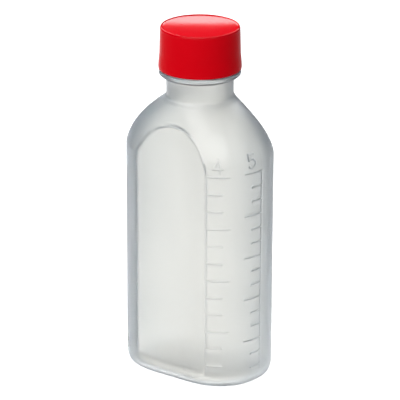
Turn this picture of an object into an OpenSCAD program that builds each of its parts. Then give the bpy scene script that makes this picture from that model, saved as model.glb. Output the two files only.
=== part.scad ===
// Oval graduated bottle: a blow-moulded body with a threaded neck,
// a screw cap, and the sealing disc that sits inside the cap.
// Origin: middle of the base, on the surface the bottle stands on.
// +Z is up, X runs along the wide side, the front panel faces -Y,
// and both scales are on the +X half of the front.

/* [Body] */
// Half of the body width at the shoulder, from the axis to a rounded end
half_w = 28.85; // [28.6:0.05:29.1]
// Half of the body depth, from the axis to the crest of the oval
half_d = 19.4; // [19.2:0.1:19.6]
// How much narrower each end is at the base than at the shoulder
taper = 0.35; // [0.2:0.05:0.45]
// Half length of the straight stretch on each long side of the oval
flat = 6.5; // [6:0.5:7]
// Roundness of the oval's ends (2 is an ellipse, more is squarer)
squareness = 2.36; // [2.3:0.02:2.4]
// Height at which the straight sides turn into the shoulder
shoulder_z = 86.7; // [86.4:0.1:87]
// Height at which the shoulder meets the neck
neck_z = 107.1; // [106.9:0.1:107.3]
// Width of the rounding round the bottom edge
base_round = 2.1; // [1.9:0.1:2.3]
// Height of the rounding round the bottom edge
base_rise = 4.7; // [4.4:0.1:5]
// Depth of the hollow under the base
push_up = 1.2; // [0.8:0.1:1.6]
// Thickness of the front, back and neck walls
wall = 1.3; // [1.2:0.1:1.4]
// Thickness of the wall at the rounded ends
wall_end = 2.6; // [2.4:0.1:2.8]

/* [Front and back panels] */
// Half width of the sunk panel, and radius of its round top
panel_half_w = 16.35; // [15:0.05:16.4]
// Distance from the axis to the panel's face
panel_d = 17.85; // [17.6:0.05:18.1]
// Height of the middle of the panel's round top
panel_arch_z = 82.05; // [80:0.05:83]
// How fast the top of the panel leans in with the shoulder
panel_lean = 0.022; // [0.018:0.001:0.024]

/* [Neck] */
// Radius of the plain neck above the shoulder
neck_r = 12.52; // [12.44:0.02:12.58]
// Radius of the mouth and of the passage through the neck
mouth_r = 10.9; // [10:0.1:11]
// Height of the rim of the mouth
rim_z = 131.7; // [131.2:0.1:131.7]
// Radius of the collar under the cap
collar_r = 15.3; // [15.2:0.1:15.4]
// Height of the underside of the collar at its edge
collar_z = 115.3; // [115.2:0.1:115.4]

/* [Thread] */
// Rise of the thread in one turn
pitch = 4.2; // [4:0.1:4.4]
// Number of turns of thread on the neck
thread_turns = 1.6; // [1.25:0.05:1.7]
// Radius of the crest of the neck's thread
thread_r = 13.6; // [13.4:0.05:13.65]

/* [Cap] */
// Radius of the cap at its top
cap_top_r = 14.95; // [14.9:0.05:15.1]
// Radius of the cap at its lower edge
cap_low_r = 15.55; // [15.5:0.05:15.7]
// Height of the lower edge of the cap
cap_z = 117.84; // [117.7:0.02:118]
// Height of the top of the cap
cap_top_z = 134.1; // [134.1:0.1:134.8]
// Rounding round the top edge of the cap
cap_round = 2.3; // [1.2:0.1:2.4]
// How deep the top of the cap is dished
cap_dish = 0.35; // [0:0.05:0.5]
// Radius of the hollow inside the cap
cap_in_r = 14; // [13.95:0.05:14.1]

/* [Sealing disc] */
// Thickness of the disc between the rim and the cap
disc_t = 1; // [0.8:0.1:1]
// Radius of the disc
disc_r = 13.7; // [13:0.1:13.7]

/* [Scales] */
// Number of steps on the scale beside the panel
scale_a_steps = 12; // [6:3:12]
// Distance between two marks of the scale beside the panel
scale_a_gap = 6.8; // [6:0.1:6.8]
// Number of steps on the scale at the end of the oval
scale_b_steps = 15; // [9:3:15]
// Distance between two marks of the scale at the end
scale_b_gap = 5.5; // [5:0.1:5.5]
// Height of the top mark of both scales
scale_top_z = 83.7; // [82:0.1:84]
// How far the marks and numerals stand out
relief = 0.25; // [0.2:0.05:0.3]

/* [Hidden] */
ring = 64;                       // points round the outside of the body
ring_in = 48;                    // points round the cavity
shoulder_steps = 14;             // rings from the sides up to the neck
mark_h = 0.45;                   // height of one scale mark
body_rise = neck_z - shoulder_z;

// Rises from 0 to 1, with its end tangent to the side
function ease(u, p) = 1 - pow(1 - u, p);

// One section of the body: a flat-sided oval, as a ring of points
function oval(a, b, f, n, z, count, lim = 99) = [
    for (i = [0 : count - 1])
        let (t = (i + 0.5) * 360 / count, c = cos(t), s = sin(t))
        [sign(c) * (f + (a - f) * pow(abs(c), 2 / n)),
         min(lim, max(-lim, b * sign(s) * pow(abs(s), 2 / n))), z]];

// Half width, half depth, flat and squareness part way up the shoulder,
// from u = 0 at the neck to u = 1 at the straight sides
function sh_a(u) = neck_r + (half_w - neck_r) * ease(u, 1.85);
function sh_b(u) = neck_r + (half_d - neck_r) * ease(u, 1.43);
function sh_f(u) = min(flat * ease(u, 0.84), sh_a(u) - 2);
function sh_n(u) = 2 + (squareness - 2) * ease(u, 1.43);
function sh_z(u) = neck_z - body_rise * u;

// Half width of the straight sides at a height
function side_a(z) = half_w - taper * (1 - z / shoulder_z);

// Distance from the axis to the panel's face at a height
function panel_y(z) = z < panel_top ? panel_d - (z > 87 ? panel_lean * pow(z - 87, 2) : 0)
                                    : panel_y(panel_top - 0.01) + 4 * (z - panel_top);
panel_top = panel_arch_z + panel_half_w;

// Skin over a stack of rings, closed at both ends
module loft(rings) {
    n = len(rings[0]);
    m = len(rings);
    pts = [for (r = rings) each r];
    polyhedron(points = pts, convexity = 6, faces = concat(
        [[for (i = [0 : n - 1]) i]],
        [for (j = [0 : m - 2], i = [0 : n - 1])
            let (a = j * n + i, b = j * n + (i + 1) % n) [a, a + n, b]],
        [for (j = [0 : m - 2], i = [0 : n - 1])
            let (a = j * n + i, b = j * n + (i + 1) % n) [b, a + n, b + n]],
        [[for (i = [n - 1 : -1 : 0]) (m - 1) * n + i]]));
}

// Outside of the body, from the hollow under the base to the neck
module body_outside() {
    loft(concat(
        [oval(half_w - 7, half_d - 7, flat, squareness, push_up, ring),
         oval(half_w - 5.4, half_d - 5.4, flat, squareness, 0, ring)],
        [for (k = [0 : 5]) let (w = 90 * k / 5, d = base_round * (1 - sin(w)), z = base_rise * (1 - cos(w)))
            oval(side_a(z) - d, half_d - d, flat, squareness, z, ring)],
        [for (k = [0 : shoulder_steps]) let (u = pow(1 - k / shoulder_steps, 1.15))
            oval(u > 0 ? sh_a(u) : neck_r - 0.4, u > 0 ? sh_b(u) : neck_r - 0.4,
                 u > 0 ? sh_f(u) : 0, sh_n(u), u > 0 ? sh_z(u) : neck_z + 0.3, ring)]));
}

// Cavity inside the body, one wall thickness in from the front, the back and the
// panels, and thicker at the rounded ends
module cavity() {
    floor_z = push_up + 1.3;
    loft(concat(
        [for (k = [0 : 3]) let (w = 90 * k / 3, d = base_round * (1 - sin(w)), z = floor_z + base_rise * 0.7 * (1 - cos(w)))
            oval(side_a(z) - wall_end - d, half_d - wall - d, flat, squareness, z, ring_in, panel_d - wall - d)],
        [for (k = [0 : 11]) let (u = 1 - k / 11, z = sh_z(u) - (1 - u))
            oval(u > 0 ? sh_a(u) - wall - (wall_end - wall) * min(1, 1.4 * u) : mouth_r - 0.5, u > 0 ? sh_b(u) - wall : mouth_r - 0.5,
                 u > 0 ? sh_f(u) : 0, sh_n(u), z, ring_in,
                 panel_y(z) - wall)]));
}

// Block that sinks one panel: an arch seen from the front, with its
// inner face upright below and leaning in above
module panel_cutter() {
    lean_steps = 8;
    intersection() {
        translate([0, -12, 0]) rotate([90, 0, 0]) linear_extrude(height = 12)
            union() {
                translate([-panel_half_w, 3]) square([2 * panel_half_w, panel_arch_z - 3]);
                translate([0, panel_arch_z]) circle(r = panel_half_w, $fn = 72);
            }
        rotate([90, 0, 90]) translate([0, 0, -20]) linear_extrude(height = 40)
            polygon(concat(
                [[-30, 0], [-half_d - 0.2, 0], [-half_d - 0.1, 2.6], [-panel_d, 5.8]],
                [for (k = [0 : lean_steps]) let (z = 87 + (panel_top - 87) * k / lean_steps)
                    [-panel_y(min(z, panel_top - 0.02)), z + (k == lean_steps ? 1 : 0)]],
                [[-30, panel_top + 1]]));
    }
}

// Lower half of the neck, the collar and the threaded finish, without the bore
module neck_outside() {
    rotate_extrude($fn = 96) polygon([
        [0, neck_z - 3.5], [neck_r, neck_z - 3.5], [neck_r, collar_z - 0.7],
        [neck_r + 0.5, collar_z - 0.35], [collar_r - 0.9, collar_z], [collar_r - 0.35, collar_z + 0.25],
        [collar_r, collar_z + 0.8], [collar_r, collar_z + 1.6], [collar_r - 0.3, collar_z + 1.95],
        [neck_r + 0.3, collar_z + 2.1], [neck_r + 0.1, collar_z + 2.5], [neck_r + 0.1, rim_z - 0.5],
        [neck_r - 0.4, rim_z], [0, rim_z]]);
}

// Raised thread along a helix: a trapezoid with both of its ends faded out
module helix_ridge(r_foot, r_crest, z0, turns, foot_h, crest_h, steps_per_turn = 32) {
    steps = ceil(turns * steps_per_turn);
    fade = 0.12;
    pts = [for (i = [0 : steps])
        let (u = i / steps, ang = 360 * turns * u, z = z0 + pitch * turns * u,
             h = min(1, min(u, 1 - u) / fade + 0.12), rc = r_foot + (r_crest - r_foot) * h)
        each [[r_foot * cos(ang), r_foot * sin(ang), z - foot_h / 2],
              [rc * cos(ang), rc * sin(ang), z - crest_h / 2],
              [rc * cos(ang), rc * sin(ang), z + crest_h / 2],
              [r_foot * cos(ang), r_foot * sin(ang), z + foot_h / 2]]];
    out = r_crest > r_foot;
    side = [for (i = [0 : steps - 1], k = [0 : 3])
        let (a = 4 * i + k, b = 4 * i + (k + 1) % 4)
        each [[a, b, a + 4], [b, b + 4, a + 4]]];
    ends = [[0, 3, 2], [0, 2, 1],
            [4 * steps, 4 * steps + 1, 4 * steps + 2], [4 * steps, 4 * steps + 2, 4 * steps + 3]];
    faces = concat(side, ends);
    polyhedron(points = pts, faces = out ? faces : [for (f = faces) [f[2], f[1], f[0]]], convexity = 8);
}

// Depth of the body's skin at a distance from the middle and a height, on the straight sides
function skin_y(x, z) = abs(x) <= flat ? half_d
    : half_d * pow(1 - pow((abs(x) - flat) / (side_a(min(z, shoulder_z)) - flat), squareness), 1 / squareness);

// One scale mark: a thin band that follows the skin between two places
module mark(x0, x1, z) {
    k = 6;
    xs = [for (i = [0 : k]) x0 + (x1 - x0) * ease(i / k, 1.6)];
    translate([0, 0, z - mark_h / 2]) linear_extrude(height = mark_h)
        polygon(concat(
            [for (x = xs) [x, -skin_y(x, z)] * (1 - 0.5 / norm([x, skin_y(x, z)]))],
            [for (i = [k : -1 : 0]) let (x = xs[i]) [x, -skin_y(x, z)] * (1 + relief / norm([x, skin_y(x, z)]))]));
}

// Both scales, every third mark longer, and the line up the end of the oval
module scales() {
    for (i = [0 : scale_a_steps - 1])
        mark(panel_half_w + 0.35, i % 3 == 0 ? 24.3 : 22.4, scale_top_z - 0.1 - i * scale_a_gap);
    for (i = [0 : scale_b_steps - 1])
        let (z = scale_top_z + 0.1 - i * scale_b_gap, x = side_a(z))
            mark(x - (i % 3 == 0 ? 1.26 : 0.39), x - 0.001, z);
    for (s = [0, 1]) mirror([s, 0, 0])
        rotate([90, 0, 0]) translate([0, 0, -0.25]) linear_extrude(height = 0.5)
            polygon([[side_a(5.2) - 0.4, 5.2], [side_a(5.2) + relief, 5.2],
                     [side_a(scale_top_z) + relief, scale_top_z + mark_h], [side_a(scale_top_z) - 0.4, scale_top_z + mark_h]]);
}

// A straight stroke of a numeral between two points of its plane
module stroke(p, q, w) {
    d = q - p;
    translate([p[0], p[1], 0]) rotate(atan2(d[1], d[0]))
        translate([-w / 2, -w / 2]) square([norm(d) + w, w]);
}

// The figures 4 and 5 as outlines, about 5 mm high
module figure_4() {
    stroke([0.9, 2.5], [-1.8, -1.0], 0.55);
    stroke([-1.8, -1.0], [1.9, -1.0], 0.55);
    stroke([0.9, 2.5], [0.9, -2.5], 0.55);
}
module figure_5() {
    stroke([-1.2, 2.6], [1.4, 2.6], 0.55);
    stroke([-1.2, 2.6], [-1.3, 0.3], 0.55);
    polygon(concat(
        [for (t = [140 : -14 : -140]) [0, -0.9] + 1.9 * [cos(t), sin(t)]],
        [for (t = [-140 : 14 : 140]) [0, -0.9] + 1.35 * [cos(t), sin(t)]]));
}
module figures() {
    translate([20.7, -skin_y(20.7, 86), 87.6]) rotate([0, 0, 33]) rotate([90, 0, 0])
        translate([0, 0, -0.9]) linear_extrude(height = 0.9 + relief) figure_4();
    translate([28.05, -skin_y(28.05, 86), 88.9]) rotate([0, 0, 73]) rotate([90, 0, 0])
        translate([0, 0, -1.0]) linear_extrude(height = 1.0 + relief) figure_5();
}

module bottle() {
    color([0.86, 0.87, 0.87, 0.75])
    difference() {
        union() {
            difference() {
                body_outside();
                panel_cutter();
                mirror([0, 1, 0]) panel_cutter();
            }
            neck_outside();
            helix_ridge(neck_r - 0.3, thread_r, 120.6, thread_turns, 2.3, 0.9);
            scales();
            figures();
        }
        cavity();
        translate([0, 0, neck_z - 4]) cylinder(r = mouth_r, h = rim_z - neck_z + 5, $fn = 96);
    }
}

module screw_cap() {
    color([0.82, 0.03, 0.07])
    union() {
        rotate_extrude($fn = 96) polygon(concat(
            [for (k = [0 : 4]) [(cap_top_r - cap_round) * k / 4, cap_top_z - cap_dish * (1 - pow(k / 4, 2))]],
            [for (t = [75 : -15 : 0])
                [cap_top_r - cap_round + cap_round * cos(t), cap_top_z - cap_round + cap_round * sin(t)]],
            [[cap_top_r + 0.2, cap_z + 5.8], [cap_low_r - 0.1, cap_z + 2.5], [cap_low_r, cap_z + 1],
             [cap_low_r - 0.06, cap_z + 0.35], [cap_low_r - 0.3, cap_z], [cap_in_r + 0.5, cap_z], [cap_in_r, cap_z + 0.7],
             [cap_in_r, rim_z + disc_t], [0, rim_z + disc_t]]));
        helix_ridge(cap_in_r + 0.3, neck_r + 0.45, 120.6 + pitch / 2 + 0.35, 1.5, 1.7, 0.7);
    }
}

module sealing_disc() {
    color([0.93, 0.93, 0.91])
    translate([0, 0, rim_z]) cylinder(r = disc_r, h = disc_t, $fn = 96);
}

bottle();
screw_cap();
sealing_disc();
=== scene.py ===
import math

import bpy
import numpy as np
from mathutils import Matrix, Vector


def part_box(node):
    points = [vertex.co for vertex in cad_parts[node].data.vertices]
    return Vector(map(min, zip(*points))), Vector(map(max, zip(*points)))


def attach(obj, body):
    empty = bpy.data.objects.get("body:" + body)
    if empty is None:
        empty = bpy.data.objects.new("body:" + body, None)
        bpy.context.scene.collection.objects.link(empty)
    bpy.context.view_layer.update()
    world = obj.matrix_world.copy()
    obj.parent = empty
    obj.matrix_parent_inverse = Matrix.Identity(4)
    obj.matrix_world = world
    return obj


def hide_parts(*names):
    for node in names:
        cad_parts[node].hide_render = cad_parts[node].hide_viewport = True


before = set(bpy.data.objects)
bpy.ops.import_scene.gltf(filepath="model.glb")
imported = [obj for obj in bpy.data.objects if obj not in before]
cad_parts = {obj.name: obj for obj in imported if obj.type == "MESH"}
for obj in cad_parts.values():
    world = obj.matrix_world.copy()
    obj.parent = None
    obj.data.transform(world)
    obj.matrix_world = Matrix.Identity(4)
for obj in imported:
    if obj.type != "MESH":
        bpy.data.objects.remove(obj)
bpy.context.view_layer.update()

MM = 0.001

# --------------------------------------------------------------------------------------
# Sizes, in millimetres: the bottle's own dimensions, as in the CAD model
# --------------------------------------------------------------------------------------
HALF_W, HALF_D, FLAT, SQ, TAPER = 28.85, 19.4, 6.5, 2.36, 0.35
SHOULDER_Z, NECK_Z = 86.7, 107.1
BASE_ROUND, BASE_RISE, PUSH_UP, WALL, WALL_END = 2.1, 4.7, 1.2, 1.3, 2.6
PANEL_HW, PANEL_D, ARCH_Z, LEAN = 16.35, 17.85, 82.05, 0.022
NECK_R, MOUTH_R, RIM_Z = 12.52, 10.9, 131.7
COLLAR_R, COLLAR_Z = 15.3, 115.3
PITCH, THREAD_R = 4.2, 13.6
CAP_TOP_R, CAP_LOW_R, CAP_Z, CAP_TOP_Z, CAP_ROUND, CAP_IN_R, CAP_DISH = 14.95, 15.55, 117.84, 134.1, 2.3, 14.0, 0.35
DISC_R, DISC_T = 13.7, 1.0
SCALE_TOP = 83.7
RELIEF, BEAD = 0.33, 0.2
PANEL_TOP = ARCH_Z + PANEL_HW

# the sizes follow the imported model's own boxes, and a change there stops the script
lo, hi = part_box("bottle")
assert abs(hi[2] * 1000 - RIM_Z) < 0.2 and abs(hi[0] * 1000 - HALF_W) < 0.6
lo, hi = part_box("screw_cap")
assert abs(hi[2] * 1000 - CAP_TOP_Z) < 0.2 and abs(hi[0] * 1000 - CAP_LOW_R) < 0.2


def smooth(x):
    x = np.clip(x, 0.0, 1.0)
    return x * x * (3 - 2 * x)


def ease(u, p):
    return 1 - (1 - u) ** p


def shoulder(z, inset=0.0, inset_b=None):
    """Half width, half depth, flat and squareness at heights z."""
    u = np.clip((NECK_Z - z) / (NECK_Z - SHOULDER_Z), 0, 1)
    a = NECK_R + (HALF_W - TAPER * (1 - np.clip(z / SHOULDER_Z, 0, 1)) - NECK_R) * ease(u, 1.85)
    b = NECK_R + (HALF_D - NECK_R) * ease(u, 1.43)
    f = np.minimum(FLAT * ease(u, 0.84), np.maximum(a - 2, 0))
    n = 2 + (SQ - 2) * ease(u, 1.43)
    return a - inset, b - (inset if inset_b is None else inset_b), f, n


def panel_face(z):
    """Distance from the axis to the sunk panel's face at heights z."""
    return PANEL_D - LEAN * np.clip(z - 87, 0, None) ** 2


def ring_points(t, a, b, f, n):
    c, s = np.cos(t), np.sin(t)
    x = np.sign(c) * (f + (a - f) * np.abs(c) ** (2 / n))
    y = b * np.sign(s) * np.abs(s) ** (2 / n)
    return x, y


# --------------------------------------------------------------------------------------
# Rings: every level of the bottle is one closed ring with the same number of points,
# laid out by share of arc length, so the grid stays even from the oval to the round neck
# --------------------------------------------------------------------------------------
QT = np.linspace(0, math.pi / 2, 361)


def quarter(a, b, f, n):
    """A quarter of a section from its rounded end to the middle of its flat side, as a fine polyline."""
    x = f + (a - f) * np.cos(QT) ** (2 / n)
    y = b * np.sin(QT) ** (2 / n)
    x[-1] = f
    y[-1] = b
    if f > 1e-6:
        x = np.append(x, np.linspace(f, 0, 25)[1:])
        y = np.append(y, np.full(24, b))
    s = np.append(0, np.cumsum(np.hypot(np.diff(x), np.diff(y))))
    return x, y, s


BX, BY, BS = quarter(HALF_W, HALF_D, FLAT, SQ)
QUARTER = BS[-1]


def s_of_x(x):
    """Arc length from the rounded end to the place on the body's section at this x."""
    return float(np.interp(-x, -BX[: len(QT)], BS[: len(QT)]))


def shares(spacing):
    """Shares of a quarter's length, from 0 to 1, for a spacing in mm that changes along it."""
    s = np.linspace(0, QUARTER, 4001)
    step = np.interp(s, *zip(*spacing))
    count = np.append(0, np.cumsum(np.diff(s) / step[:-1]))
    k = int(math.ceil(count[-1]))
    return np.interp(np.linspace(0, count[-1], k + 1), count, s) / QUARTER


S_EDGE = s_of_x(PANEL_HW)
S4, S5 = s_of_x(20.75), 5.2
scale_side = shares([(0, 0.3), (1.8, 0.2), (7.4, 0.2), (9.5, 0.45), (S4 - 4.2, 0.45), (S4 - 3.2, 0.2), (S4 + 3.0, 0.2),
                     (S_EDGE - 0.9, 0.2), (S_EDGE + 0.9, 0.2), (S_EDGE + 2.5, 0.42), (QUARTER, 0.45)])
plain_side = shares([(0, 0.45), (0.8, 0.6), (S_EDGE - 2.5, 0.6), (S_EDGE - 0.9, 0.22), (S_EDGE + 0.9, 0.22),
                     (S_EDGE + 2.5, 0.42), (QUARTER, 0.45)])
# front right, front left, back left, back right: (sign of x, sign of y, shares, runs from the end to the middle)
SIDES = [(1, -1, scale_side, True), (-1, -1, plain_side, False), (-1, 1, plain_side, True), (1, 1, plain_side, False)]
RING = sum(len(s[2]) - 1 for s in SIDES)


def ring(a, b, f, n):
    """x, y and, on the front right quarter, the arc length from the rounded end (elsewhere -1)."""
    qx, qy, qs = quarter(a, b, f, n)
    xs, ys, ss = [], [], []
    for sx, sy, share, outward in SIDES:
        w = share if outward else share[::-1]
        w = w[:-1]
        x, y = np.interp(w * qs[-1], qs, qx), np.interp(w * qs[-1], qs, qy)
        xs.append(sx * x)
        ys.append(sy * y)
        ss.append(w * qs[-1] if (sx, sy) == (1, -1) else np.full(len(w), -1.0))
    return np.concatenate(xs), np.concatenate(ys), np.concatenate(ss)


def arch_depth(x, z):
    """How far a place is inside the panel's outline, seen from the front. Below 0 it is outside."""
    upper = PANEL_HW - np.hypot(x, z - ARCH_Z)
    return np.where(z > ARCH_Z, upper, PANEL_HW - np.abs(x))


def sink_panel(x, y, z, inset, blend, soft):
    """Moves the front and back in to the panel's face inside its outline."""
    face = panel_face(z) - inset
    face = face + np.clip((5.8 - z) / 3.2, 0, 1) ** 1.5 * 1.6  # runs out to the full oval at the foot
    gentle = smooth((-np.where(y < 0, x, -x) - 3) / 9)
    w = smooth(arch_depth(x, z) / (blend * (1 + soft * gentle)) + 0.5)
    ay = np.abs(y)
    return np.sign(y) * (ay + (np.minimum(ay, face) - ay) * w)


# --------------------------------------------------------------------------------------
# Raised scales and figures: how high the relief stands at a place on the front right
# --------------------------------------------------------------------------------------
def bar(s, z, s0, s1, zc, half=0.3):
    """One raised line across the surface, with round ends."""
    ds = np.maximum(np.maximum(s0 - s, s - s1), 0)
    d = np.hypot(ds, z - zc) / half
    return np.sqrt(np.clip(1 - d * d, 0, 1))


def strokes(s, z, lines, half):
    """Raised strokes along line segments, round in section."""
    h = np.zeros_like(s)
    for (x0, z0), (x1, z1) in lines:
        dx, dz = x1 - x0, z1 - z0
        k = np.clip(((s - x0) * dx + (z - z0) * dz) / (dx * dx + dz * dz + 1e-12), 0, 1)
        d = np.hypot(s - x0 - k * dx, z - z0 - k * dz) / half
        h = np.maximum(h, np.sqrt(np.clip(1 - d * d, 0, 1)))
    return h


def arc(cx, cz, r, a0, a1, k=16):
    pts = [(cx + r * math.cos(math.radians(a0 + (a1 - a0) * i / k)), cz + r * math.sin(math.radians(a0 + (a1 - a0) * i / k)))
           for i in range(k + 1)]
    return list(zip(pts[:-1], pts[1:]))


MARKS = []  # (s from, s to, height)
for i in range(12):
    MARKS.append((s_of_x(24.3 if i % 3 == 0 else 22.4), S_EDGE - 0.35, SCALE_TOP - 0.1 - i * 6.8))
for i in range(15):
    MARKS.append((0.0, 8.3 if i % 3 == 0 else 5.05, SCALE_TOP + 0.1 - i * 5.5))

# seen from outside the figures' own right is towards the rounded end, so s runs to the left
FOUR = [((0.95, 2.55), (-1.75, -0.95)), ((-1.75, -0.95), (1.95, -0.95)), ((0.95, 2.55), (0.95, -2.45))]
FIVE = [((-1.05, 2.6), (1.45, 2.6)), ((-1.05, 2.6), (-1.3, 0.35))] + arc(-0.05, -0.85, 1.7, 137, -140)


def relief(s, z):
    h = np.zeros_like(s)
    on = s >= -0.5
    near = on & (z > 2) & (z < SCALE_TOP + 1.2)
    if near.any():
        for s0, s1, zc in MARKS:
            m = near & (np.abs(z - zc) < 0.5)
            if m.any():
                h[m] = np.maximum(h[m], bar(s[m], z[m], s0, s1, zc))
    m = on & (z > SCALE_TOP + 0.5) & (z < 95)
    if m.any():
        h[m] = np.maximum(h[m], 1.15 * strokes(S4 - s[m], z[m] - 87.7, FOUR, 0.34))
        h[m] = np.maximum(h[m], 1.25 * strokes(S5 - s[m], (z[m] - 88.6), FIVE, 0.38))
    return h


# --------------------------------------------------------------------------------------
# Meshes
# --------------------------------------------------------------------------------------
def grid_mesh(name, levels, smooth_shading=True):
    """A closed skin over a stack of rings (each n x 3, in mm), with a point closing each end."""
    levels = np.asarray(levels)
    m, n, _ = levels.shape
    verts = np.vstack([levels.reshape(-1, 3), levels[0].mean(0)[None], levels[-1].mean(0)[None]]) * MM
    j = np.arange(n)
    k = (j + 1) % n
    faces = []
    base = (np.arange(m - 1) * n)[:, None]
    quads = np.stack([base + j, base + k, base + n + k, base + n + j], axis=-1).reshape(-1, 4)
    faces.extend(map(tuple, quads.tolist()))
    faces.extend([(m * n, int(b), int(a)) for a, b in zip(j, k)])
    top = (m - 1) * n
    faces.extend([(m * n + 1, top + int(a), top + int(b)) for a, b in zip(j, k)])
    mesh = bpy.data.meshes.new(name)
    mesh.from_pydata(verts.tolist(), [], faces)
    mesh.update()
    mesh.validate()
    if smooth_shading:
        mesh.polygons.foreach_set("use_smooth", [True] * len(mesh.polygons))
    ob = bpy.data.objects.new(name, mesh)
    bpy.context.scene.collection.objects.link(ob)
    return ob


def facing_out(ob):
    """Turns the mesh's faces outwards if they point in."""
    me = ob.data
    v = np.empty(len(me.vertices) * 3)
    me.vertices.foreach_get("co", v)
    v = v.reshape(-1, 3)
    me.calc_loop_triangles()
    t = np.empty(len(me.loop_triangles) * 3, dtype=np.int32)
    me.loop_triangles.foreach_get("vertices", t)
    t = t.reshape(-1, 3)
    vol = np.einsum("ij,ij->i", v[t[:, 0]], np.cross(v[t[:, 1]], v[t[:, 2]])).sum()
    if vol < 0:
        me.flip_normals()
    return ob


def fillet(points, radii, k=5):
    """Rounds the corners of a 2-D outline of (r, z) points, each with its own radius."""
    out = [np.array(points[0], float)]
    for p, q, w, r in zip(points[:-2], points[1:-1], points[2:], radii[1:-1]):
        p, q, w = np.array(p, float), np.array(q, float), np.array(w, float)
        if r <= 0:
            out.append(q)
            continue
        u, v = (p - q) / np.linalg.norm(p - q), (w - q) / np.linalg.norm(w - q)
        half = math.acos(np.clip(u @ v, -1, 1)) / 2
        d = min(r / math.tan(half), 0.49 * np.linalg.norm(p - q), 0.49 * np.linalg.norm(w - q))
        rr = d * math.tan(half)
        c = q + (u + v) / np.linalg.norm(u + v) * (rr / math.sin(half))
        a0 = math.atan2(*(q + u * d - c)[::-1])
        a1 = math.atan2(*(q + v * d - c)[::-1])
        da = (a1 - a0 + math.pi) % (2 * math.pi) - math.pi
        for i in range(k + 1):
            a = a0 + da * i / k
            out.append(c + rr * np.array([math.cos(a), math.sin(a)]))
    out.append(np.array(points[-1], float))
    return np.array(out)


def helix(phi, z, z0, turns, crest, foot, hand_gap=0.0):
    """Height share, 0 to 1, of a thread at angle phi and height z: flat crest, sloping flanks, faded ends."""
    best = np.zeros_like(z)
    for k in range(-1, int(turns) + 2):
        ang = phi + 2 * math.pi * k
        u = ang / (2 * math.pi * turns)
        centre = z0 + PITCH * ang / (2 * math.pi)
        d = np.abs(z - centre)
        h = smooth((foot - d) / (foot - crest))
        ends = smooth(np.minimum(u, 1 - u) / 0.1)
        best = np.maximum(best, np.where((u > 0) & (u < 1), h * ends, 0))
    return best


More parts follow.
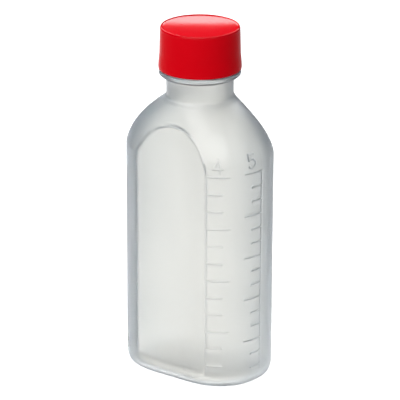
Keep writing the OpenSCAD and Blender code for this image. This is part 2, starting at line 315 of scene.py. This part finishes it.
# ---- bottle: one closed skin, up the outside, over the rim and down the inside ----
def bottle_levels():
    rows = []  # (z, a, b, f, n, kind): kind 0 outside, 1 inside

    def add(z, a, b, f, n, kind=0):
        rows.append((z, a, b, f, n, kind))

    # hollow under the base, the ring it stands on and the rounding round it
    half_base = HALF_W - TAPER
    for k in (0.04, 0.3, 0.55, 0.78, 0.94):
        add(PUSH_UP, (half_base - 7.2) * k, (HALF_D - 7.2) * k, FLAT * k, SQ)
    for i in range(11):
        v = i / 10
        add(PUSH_UP * (1 - smooth(v)), half_base - 7.2 + 2.2 * v, HALF_D - 7.2 + 2.2 * v, FLAT, SQ)
    for d in (4.5, 3.8, 3.1, 2.5):
        add(0, half_base - d, HALF_D - d, FLAT, SQ)
    for i in range(15):
        w = math.pi / 2 * i / 14
        d, z = BASE_ROUND * (1 - math.sin(w)), BASE_RISE * (1 - math.cos(w))
        add(z, half_base + TAPER * z / SHOULDER_Z - d, HALF_D - d, FLAT, SQ)
    # sides: close levels where a mark crosses, and round the panel's arch and the figures
    zs = set()
    for _, _, zc in MARKS:
        for o in (-0.42, -0.29, -0.2, -0.1, 0, 0.1, 0.2, 0.29, 0.42):
            zs.add(round(zc + o, 3))
    for z in np.arange(5.3, 82, 2.6):
        zs.add(round(float(z), 3))
    zs = [z for z in sorted(zs) if BASE_RISE + 0.2 < z < SCALE_TOP + 0.6]
    zs += list(np.arange(SCALE_TOP + 0.8, 92.4, 0.2)) + list(np.arange(92.4, 99.4, 0.24)) + list(np.arange(99.5, 106.4, 0.6))
    kept = [zs[0]]
    for z in zs[1:]:
        if z - kept[-1] > 0.05:
            kept.append(z)
    for z in kept:
        add(z, *[float(v) for v in shoulder(z)])
    # neck, collar, thread and rim as a round profile
    a_join = [float(v) for v in shoulder(106.6)]
    neck = [(NECK_R + 0.62, 106.85), (NECK_R + 0.33, 107.15), (NECK_R + 0.14, 107.5), (NECK_R + 0.04, 107.9), (NECK_R, 108.4)]
    for r, z in neck:
        k = (z - 106.6) / 1.8
        extra = (a_join[0] - a_join[1]) * max(0, 1 - k * 2.2) * 0.5
        add(z, r + extra, r, 0, 2)
    collar = fillet([(NECK_R, 108.4), (NECK_R, COLLAR_Z - 0.55), (COLLAR_R - 0.75, COLLAR_Z + 0.02), (COLLAR_R, COLLAR_Z + 0.75),
                     (COLLAR_R, COLLAR_Z + 2.1), (NECK_R + 0.1, COLLAR_Z + 2.3), (NECK_R + 0.1, 118.6)],
                    [0, 0.45, 0.7, 0.6, 0.4, 0.4, 0], 5)
    for r, z in collar[1:]:
        add(z, r, r, 0, 2)
    for z in np.arange(118.9, 129.4, 0.24):
        add(float(z), NECK_R + 0.1, NECK_R + 0.1, 0, 2, 2)
    for r, z in fillet([(NECK_R + 0.1, 129.6), (NECK_R + 0.1, RIM_Z), (MOUTH_R, RIM_Z), (MOUTH_R, RIM_Z - 3)], [0, 0.5, 0.4, 0], 5):
        add(z, r, r, 0, 2)
    # inside: the passage, the shoulder, the sides and the floor
    for z in np.arange(RIM_Z - 6, 108.6, -3.0):
        add(float(z), MOUTH_R, MOUTH_R, 0, 2, 1)
    for z in np.arange(107.6, 83, -0.55):
        k = smooth((NECK_Z - z) / 14)
        a, b, f, n = [float(v) for v in shoulder(z + 0.7, WALL + (WALL_END - WALL) * k, WALL)]
        add(z, max(a, MOUTH_R), max(b, MOUTH_R), min(f, max(a, MOUTH_R) - MOUTH_R * 0.2) if a > MOUTH_R else 0, n, 1)
    for z in np.arange(82, 7, -5.0):
        a, b, f, n = [float(v) for v in shoulder(z, WALL_END, WALL)]
        add(float(z), a, b, f, n, 1)
    floor = 1.05
    for i in range(11):
        w = math.pi / 2 * (1 - i / 10)
        d, z = BASE_ROUND * (1 - math.sin(w)), floor + BASE_RISE * 0.7 * (1 - math.cos(w))
        add(z, half_base + TAPER * z / SHOULDER_Z - WALL_END - d, HALF_D - WALL - d, FLAT, SQ, 1)
    for k in (0.93, 0.82, 0.68, 0.5, 0.28, 0.04):
        add(floor + PUSH_UP * float(smooth((1 - k) * 4)), (half_base - WALL_END - BASE_ROUND) * k, (HALF_D - WALL - BASE_ROUND) * k, FLAT * k, SQ, 1)
    return rows


rows = bottle_levels()
grid, arc_s, kinds = [], [], []
for z, a, b, f, n, kind in rows:
    x, y, s = ring(a, b, f, n)
    zz = np.full_like(x, z)
    if 2.6 < z < 100 and kind == 0:
        y = sink_panel(x, y, zz, 0, 1.0, 3.0)
    if kind == 1 and 2.4 < z < 101:
        y = sink_panel(x, y, zz, WALL, 2.2, 1.0)
    if kind == 2:
        phi = np.mod(np.arctan2(y, x), 2 * math.pi)
        h = helix(phi, zz, 120.6, 1.6, 0.42, 1.1)
        k = 1 + h * (THREAD_R - NECK_R - 0.1) / (NECK_R + 0.1)
        x, y = x * k, y * k
    grid.append(np.stack([x, y, zz], -1))
    arc_s.append(s)
    kinds.append(kind)
grid = np.array(grid)
arc_s = np.array(arc_s)
kinds = np.array(kinds)

# the relief stands out along the outside's own normals
du = np.roll(grid, -1, axis=1) - np.roll(grid, 1, axis=1)
dv = np.gradient(grid, axis=0)
nrm = np.cross(du, dv)
nrm /= np.linalg.norm(nrm, axis=-1, keepdims=True) + 1e-12
centre = grid * [1, 1, 0]
flip = np.sign((nrm * centre).sum(-1, keepdims=True))
outside = (kinds == 0)[:, None] & (grid[..., 2] > 4.8) & (grid[..., 2] < 100)
h = relief(np.where(outside, arc_s, -1.0), grid[..., 2]) * (0.235 + (RELIEF - 0.235) * smooth((arc_s - 2.5) / 3))
# parting lines of the two mould halves, up both ends of the oval
w_line = np.exp(-((grid[..., 1] / 0.3) ** 2)) * (np.abs(grid[..., 0]) > 10) * smooth((grid[..., 2] - 4.0) / 1.5)
line = np.where(grid[..., 0] > 0, np.where(grid[..., 2] < SCALE_TOP + 0.3, 0.22, 0.05), 0.05)
h = np.maximum(h, w_line * line * outside)
# a low bead round each panel
edge = arch_depth(grid[..., 0], grid[..., 2]) + 0.5
side = np.where(grid[..., 1] < 0, grid[..., 0], -grid[..., 0])
bead = np.exp(-((edge / 0.4) ** 2)) * smooth((side + 12) / 9) * (1 + 0.6 * smooth((side - 13) / 3)) * (np.abs(grid[..., 1]) > 10) * smooth((grid[..., 2] - 5.5) / 3) * BEAD
h = np.maximum(h, bead * outside)
grid = grid + nrm * flip * h[..., None]
bottle = facing_out(grid_mesh("bottle_shell", grid))
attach(bottle, "bottle")
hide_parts("bottle")
print("bottle quads", len(bottle.data.polygons), "ring", RING, "rows", len(rows))


# ---- cap: one closed skin round a profile, with the thread inside ----
def lathe(name, profile, count, inner_thread=None):
    phi = np.linspace(0, 2 * math.pi, count, endpoint=False)
    levels = []
    for r, z, kind in profile:
        rr = np.full(count, float(r))
        if kind and inner_thread:
            h = helix(phi, np.full(count, z), *inner_thread[:4])
            rr = rr - h * inner_thread[4]
        levels.append(np.stack([rr * np.cos(phi), rr * np.sin(phi), np.full(count, float(z))], -1))
    return facing_out(grid_mesh(name, levels))


LIP_Z = CAP_TOP_Z - 0.2
outer = fillet([(0.4, LIP_Z), (CAP_TOP_R - 0.42, LIP_Z), (CAP_TOP_R - 0.1, LIP_Z - 0.6), (CAP_TOP_R, CAP_TOP_Z - 2.7), (CAP_TOP_R + 0.2, CAP_Z + 5.8), (CAP_LOW_R - 0.1, CAP_Z + 2.5),
                (CAP_LOW_R, CAP_Z + 1), (CAP_LOW_R - 0.1, CAP_Z), (CAP_IN_R + 0.4, CAP_Z), (CAP_IN_R, CAP_Z + 0.6), (CAP_IN_R, CAP_Z + 3)],
               [0, 0.22, 0.5, 4, 5, 3, 1.5, 0.3, 0.2, 0.3, 0], 8)
r_flat = CAP_TOP_R - 0.85
top = [(r, LIP_Z - 0.32 - CAP_DISH * (1 - (r / r_flat) ** 2), 0) for r in (0.4, 1.5, 3, 4.5, 6, 7.5, 9, 10, 11, 12, 12.8, 13.5, 13.95)]
top += [(r_flat, LIP_Z - 0.28, 0), (r_flat + 0.04, LIP_Z - 0.18, 0), (r_flat + 0.09, LIP_Z - 0.05, 0), (r_flat + 0.16, LIP_Z, 0)]
profile = top + [(r, z, 0) for r, z in outer[1:]]
profile += [(CAP_IN_R, float(z), 1) for z in np.arange(CAP_Z + 3.3, RIM_Z - 0.6, 0.22)]
profile += [(r, z, 0) for r, z in fillet([(CAP_IN_R, RIM_Z - 0.5), (CAP_IN_R, RIM_Z + DISC_T), (0.4, RIM_Z + DISC_T)], [0, 0.3, 0], 4)]
cap = lathe("cap_shell", profile, 240, (120.6 + PITCH / 2 + 0.35, 1.5, 0.35, 0.85, 1.15))
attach(cap, "cap")
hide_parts("screw_cap")

# ---- sealing disc ----
d = fillet([(0.3, RIM_Z), (DISC_R, RIM_Z), (DISC_R, RIM_Z + DISC_T), (0.3, RIM_Z + DISC_T)], [0, 0.22, 0.22, 0], 4)
disc = lathe("sealing_disc_foam", [(r, z, 0) for r, z in d], 160)
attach(disc, "disc")
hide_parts("sealing_disc")


# --------------------------------------------------------------------------------------
# Materials
# --------------------------------------------------------------------------------------
def material(name):
    m = bpy.data.materials.new(name)
    m.use_nodes = True
    nt = m.node_tree
    return m, nt, nt.nodes["Principled BSDF"]


def put(sock, value):
    sock.default_value = value


def noise(nt, scale, detail=3.0, rough=0.5, stretch=(1, 1, 1)):
    co = nt.nodes.new("ShaderNodeTexCoord")
    mp = nt.nodes.new("ShaderNodeMapping")
    mp.inputs["Scale"].default_value = stretch
    tx = nt.nodes.new("ShaderNodeTexNoise")
    tx.inputs["Scale"].default_value = scale
    tx.inputs["Detail"].default_value = detail
    tx.inputs["Roughness"].default_value = rough
    nt.links.new(co.outputs["Object"], mp.inputs["Vector"])
    nt.links.new(mp.outputs["Vector"], tx.inputs["Vector"])
    return tx


def ramp(nt, source, lo, hi, out_lo, out_hi):
    n = nt.nodes.new("ShaderNodeMapRange")
    n.inputs["From Min"].default_value = lo
    n.inputs["From Max"].default_value = hi
    n.inputs["To Min"].default_value = out_lo
    n.inputs["To Max"].default_value = out_hi
    nt.links.new(source, n.inputs["Value"])
    return n.outputs["Result"]


def bump(nt, bsdf, height, strength, distance, normal=None):
    b = nt.nodes.new("ShaderNodeBump")
    b.inputs["Strength"].default_value = strength
    b.inputs["Distance"].default_value = distance
    nt.links.new(height, b.inputs["Height"])
    if normal is not None:
        nt.links.new(normal, b.inputs["Normal"])
    nt.links.new(b.outputs["Normal"], bsdf.inputs["Normal"])
    return b.outputs["Normal"]


m_bottle, nt, p = material("natural_polypropylene")
put(p.inputs["Base Color"], (0.985, 0.960, 0.905, 1))
put(p.inputs["IOR"], 1.49)
put(p.inputs["Transmission Weight"], 0.93)
put(p.inputs["Subsurface Weight"], 1.0)
put(p.inputs["Subsurface Radius"], (1.0, 1.0, 1.0))
put(p.inputs["Subsurface Scale"], 0.004)
cloud = noise(nt, 60, 2, 0.5, (1, 1, 0.5))
nt.links.new(ramp(nt, cloud.outputs["Fac"], 0.3, 0.7, 0.27, 0.36), p.inputs["Roughness"])
wavy = noise(nt, 45, 1, 0.4, (1, 1, 0.45))
bump(nt, p, wavy.outputs["Fac"], 0.35, 0.00035)
haze = nt.nodes.new("ShaderNodeVolumeAbsorption")
put(haze.inputs["Color"], (0.0, 0.32, 0.67, 1))
put(haze.inputs["Density"], 41.0)
nt.links.new(haze.outputs["Volume"], nt.nodes["Material Output"].inputs["Volume"])
bottle.data.materials.append(m_bottle)

m_cap, nt, p = material("red_cap_plastic")
tint = noise(nt, 35, 3, 0.6)
mix = nt.nodes.new("ShaderNodeMix")
mix.data_type = "RGBA"
mix.inputs["A"].default_value = (0.62, 0.0006, 0.0055, 1)
mix.inputs["B"].default_value = (0.68, 0.0010, 0.0072, 1)
nt.links.new(ramp(nt, tint.outputs["Fac"], 0.3, 0.7, 0, 1), mix.inputs["Factor"])
nt.links.new(mix.outputs["Result"], p.inputs["Base Color"])
put(p.inputs["IOR"], 1.49)
where = nt.nodes.new("ShaderNodeTexCoord")
split = nt.nodes.new("ShaderNodeSeparateXYZ")
nt.links.new(where.outputs["Object"], split.inputs["Vector"])
nt.links.new(ramp(nt, split.outputs["Z"], (CAP_TOP_Z - 1.6) * MM, (CAP_TOP_Z - 0.9) * MM, 0.035, 0.105), p.inputs["Specular IOR Level"])
grain = noise(nt, 2600, 2, 0.5)
nt.links.new(ramp(nt, tint.outputs["Fac"], 0.3, 0.7, 0.07, 0.11), p.inputs["Roughness"])
bump(nt, p, grain.outputs["Fac"], 0.06, 0.00003)
cap.data.materials.append(m_cap)

m_disc, nt, p = material("white_foam")
cells = nt.nodes.new("ShaderNodeTexVoronoi")
cells.inputs["Scale"].default_value = 2200
co = nt.nodes.new("ShaderNodeTexCoord")
nt.links.new(co.outputs["Object"], cells.inputs["Vector"])
tone = noise(nt, 300, 2, 0.5)
mix = nt.nodes.new("ShaderNodeMix")
mix.data_type = "RGBA"
mix.inputs["A"].default_value = (0.80, 0.80, 0.78, 1)
mix.inputs["B"].default_value = (0.88, 0.88, 0.86, 1)
nt.links.new(tone.outputs["Fac"], mix.inputs["Factor"])
nt.links.new(mix.outputs["Result"], p.inputs["Base Color"])
nt.links.new(ramp(nt, cells.outputs["Distance"], 0, 1, 0.75, 0.6), p.inputs["Roughness"])
bump(nt, p, cells.outputs["Distance"], 0.5, 0.00008)
disc.data.materials.append(m_disc)

# --------------------------------------------------------------------------------------
# Floor, light and camera
# --------------------------------------------------------------------------------------
FLOOR_GLOW, FLOOR_FRONT = 0.74, 0.2
CARD_TOP, CARD_GLOW = 0.034, 0.6
WORLD = (0.3, 0.62, 1.0, 0.15)
# name, azimuth, elevation, distance, width, power, colour, height
LIGHTS = [
    ("back_top", 217.7, 42, 0.8, 1.1, 10, (1, 1, 1), 0.55),
    ("key_left", 16, 36, 1.0, 1.1, 8.3, (1, 0.98, 0.96), 0.7),
    ("shoulder_left", -80, 50, 1.0, 0.35, 4.0, (0.82, 0.92, 1), 0.35),
    ("fill_right", 82, 32, 1.0, 0.3, 0.9, (1, 1, 1), 0.6),
]


def plane(name, size, loc):
    me = bpy.data.meshes.new(name)
    s = size / 2
    me.from_pydata([(-s, -s, 0), (s, -s, 0), (s, s, 0), (-s, s, 0)], [], [(0, 1, 2, 3)])
    ob = bpy.data.objects.new(name, me)
    ob.location = loc
    bpy.context.scene.collection.objects.link(ob)
    return ob


floor = plane("floor", 40, (0, 0, -0.0002))
m_floor, nt, p = material("pale_floor")
put(p.inputs["Base Color"], (0.3, 0.3, 0.3, 1))
put(p.inputs["Roughness"], 0.9)
put(p.inputs["Specular IOR Level"], 0.1)
put(p.inputs["Emission Color"], (1, 1, 1, 1))
path = nt.nodes.new("ShaderNodeLightPath")
glow = nt.nodes.new("ShaderNodeMapRange")
glow.inputs["To Max"].default_value = 1.0
co = nt.nodes.new("ShaderNodeTexCoord")


def along(direction, lo, hi):
    """0 to 1 across the floor, between two distances along a direction."""
    turn = nt.nodes.new("ShaderNodeVectorMath")
    turn.operation = "DOT_PRODUCT"
    turn.inputs[1].default_value = direction
    nt.links.new(co.outputs["Object"], turn.inputs[0])
    zone = nt.nodes.new("ShaderNodeMapRange")
    zone.interpolation_type = "SMOOTHSTEP"
    zone.inputs["From Min"].default_value = lo
    zone.inputs["From Max"].default_value = hi
    nt.links.new(turn.outputs["Value"], zone.inputs["Value"])
    return zone.outputs["Result"]


w = math.radians(37.7)
behind = along((-math.sin(w), math.cos(w), 0), -0.24, -0.09)
aside = along((math.cos(w), math.sin(w), 0), 0.03, 0.13)
aside_left = along((-math.cos(w), -math.sin(w), 0), 0.16, 0.36)
lit = nt.nodes.new("ShaderNodeMath")
lit.operation = "SUBTRACT"
lit.use_clamp = True
nt.links.new(behind, lit.inputs[0])
nt.links.new(aside, lit.inputs[1])
less = nt.nodes.new("ShaderNodeMath")
less.operation = "SUBTRACT"
less.use_clamp = True
nt.links.new(lit.outputs[0], less.inputs[0])
nt.links.new(aside_left, less.inputs[1])
lit = less
level = nt.nodes.new("ShaderNodeMapRange")
level.inputs["To Min"].default_value = FLOOR_FRONT
level.inputs["To Max"].default_value = FLOOR_GLOW
nt.links.new(lit.outputs[0], level.inputs["Value"])
far = nt.nodes.new("ShaderNodeVectorMath")
far.operation = "LENGTH"
nt.links.new(co.outputs["Object"], far.inputs[0])
foot = nt.nodes.new("ShaderNodeMapRange")
foot.interpolation_type = "SMOOTHSTEP"
foot.inputs["From Min"].default_value = 0.02
foot.inputs["From Max"].default_value = 0.06
foot.inputs["To Min"].default_value = 1.36
foot.inputs["To Max"].default_value = 1.0
nt.links.new(far.outputs["Value"], foot.inputs["Value"])
under = nt.nodes.new("ShaderNodeMath")
under.operation = "MULTIPLY"
nt.links.new(level.outputs["Result"], under.inputs[0])
nt.links.new(foot.outputs["Result"], under.inputs[1])
nt.links.new(under.outputs[0], glow.inputs["To Min"])
nt.links.new(path.outputs["Is Camera Ray"], glow.inputs["Value"])
nt.links.new(glow.outputs["Result"], p.inputs["Emission Strength"])
floor.data.materials.append(m_floor)

# a low white card behind the bottle, seen only through it
card_mesh = bpy.data.meshes.new("card")
c, s = math.cos(w), math.sin(w)
card_mesh.from_pydata([(-s * 0.085 + c * k, c * 0.085 + s * k, z) for k, z in ((-0.075, 0.0), (0.075, 0.0), (0.075, CARD_TOP), (-0.075, CARD_TOP))],
                      [], [(0, 1, 2, 3)])
card = bpy.data.objects.new("card", card_mesh)
bpy.context.scene.collection.objects.link(card)
m_card, nt, p = material("white_card")
put(p.inputs["Base Color"], (0.8, 0.8, 0.8, 1))
put(p.inputs["Roughness"], 0.9)
put(p.inputs["Emission Color"], (1, 1, 1, 1))
put(p.inputs["Emission Strength"], CARD_GLOW)
spot = nt.nodes.new("ShaderNodeTexCoord")
across = nt.nodes.new("ShaderNodeVectorMath")
across.operation = "DOT_PRODUCT"
across.inputs[1].default_value = (c, s, 0)
nt.links.new(spot.outputs["Object"], across.inputs[0])
size = nt.nodes.new("ShaderNodeMath")
size.operation = "ABSOLUTE"
nt.links.new(across.outputs["Value"], size.inputs[0])
part = nt.nodes.new("ShaderNodeSeparateXYZ")
nt.links.new(spot.outputs["Object"], part.inputs["Vector"])
both = nt.nodes.new("ShaderNodeMath")
both.operation = "MULTIPLY"
for k, (source, near, far) in enumerate([(size.outputs[0], 0.035, 0.074), (part.outputs["Z"], 0.006, CARD_TOP - 0.001)]):
    fade = nt.nodes.new("ShaderNodeMapRange")
    fade.interpolation_type = "SMOOTHSTEP"
    fade.inputs["From Min"].default_value = near
    fade.inputs["From Max"].default_value = far
    fade.inputs["To Min"].default_value = 1.0
    fade.inputs["To Max"].default_value = 0.0
    nt.links.new(source, fade.inputs["Value"])
    nt.links.new(fade.outputs["Result"], both.inputs[k])
nt.links.new(both.outputs[0], p.inputs["Alpha"])
card_mesh.materials.append(m_card)
card.visible_camera = card.visible_glossy = card.visible_diffuse = card.visible_shadow = False

world = bpy.data.worlds.new("world")
bpy.context.scene.world = world
world.use_nodes = True
bg = world.node_tree.nodes["Background"]
put(bg.inputs["Color"], WORLD[:3] + (1,))
seen = world.node_tree.nodes.new("ShaderNodeLightPath")
dim = world.node_tree.nodes.new("ShaderNodeMapRange")
dim.inputs["To Min"].default_value = WORLD[3]
dim.inputs["To Max"].default_value = WORLD[3] * 0.25
world.node_tree.links.new(seen.outputs["Is Reflection Ray"], dim.inputs["Value"])
world.node_tree.links.new(dim.outputs["Result"], bg.inputs["Strength"])

AZ, EL = math.radians(37.68), math.radians(19.95)
DIST = 1.375
TARGET = Vector((0, 0, 0.06565))
BACK = Vector((math.sin(AZ) * math.cos(EL), -math.cos(AZ) * math.cos(EL), math.sin(EL)))


def area(name, az, el, dist, size, power, colour=(1, 1, 1), size_y=None, target=(0, 0, 0.07)):
    """A softbox at an azimuth and elevation round the object."""
    data = bpy.data.lights.new(name, "AREA")
    data.energy = power
    data.color = colour
    data.shape = "RECTANGLE"
    data.size = size
    data.size_y = size_y or size
    ob = bpy.data.objects.new(name, data)
    a, e = math.radians(az), math.radians(el)
    d = Vector((math.sin(a) * math.cos(e), -math.cos(a) * math.cos(e), math.sin(e)))
    ob.location = Vector(target) + d * dist
    ob.rotation_mode = "QUATERNION"
    ob.rotation_quaternion = d.to_track_quat("Z", "Y")
    ob.visible_camera = False
    ob.visible_transmission = name != "back_top"
    bpy.context.scene.collection.objects.link(ob)
    return ob


for args in LIGHTS:
    area(*args)

cam_data = bpy.data.cameras.new("camera")
cam = bpy.data.objects.new("camera", cam_data)
bpy.context.scene.collection.objects.link(cam)
cam_data.sensor_width = 36
cam_data.lens = 36 * 3674 / 400
cam_data.clip_start, cam_data.clip_end = 0.05, 60
cam_data.shift_x = 0.37 / 400
cam.location = TARGET + BACK * DIST
q = (BACK).to_track_quat("Z", "Y")
cam.rotation_mode = "QUATERNION"
from mathutils import Quaternion
cam.rotation_quaternion = q @ Quaternion((0, 0, 1), math.radians(0.19))
bpy.context.scene.camera = cam
bpy.context.scene.view_settings.view_transform = "Standard"
bpy.context.scene.view_settings.look = "None"
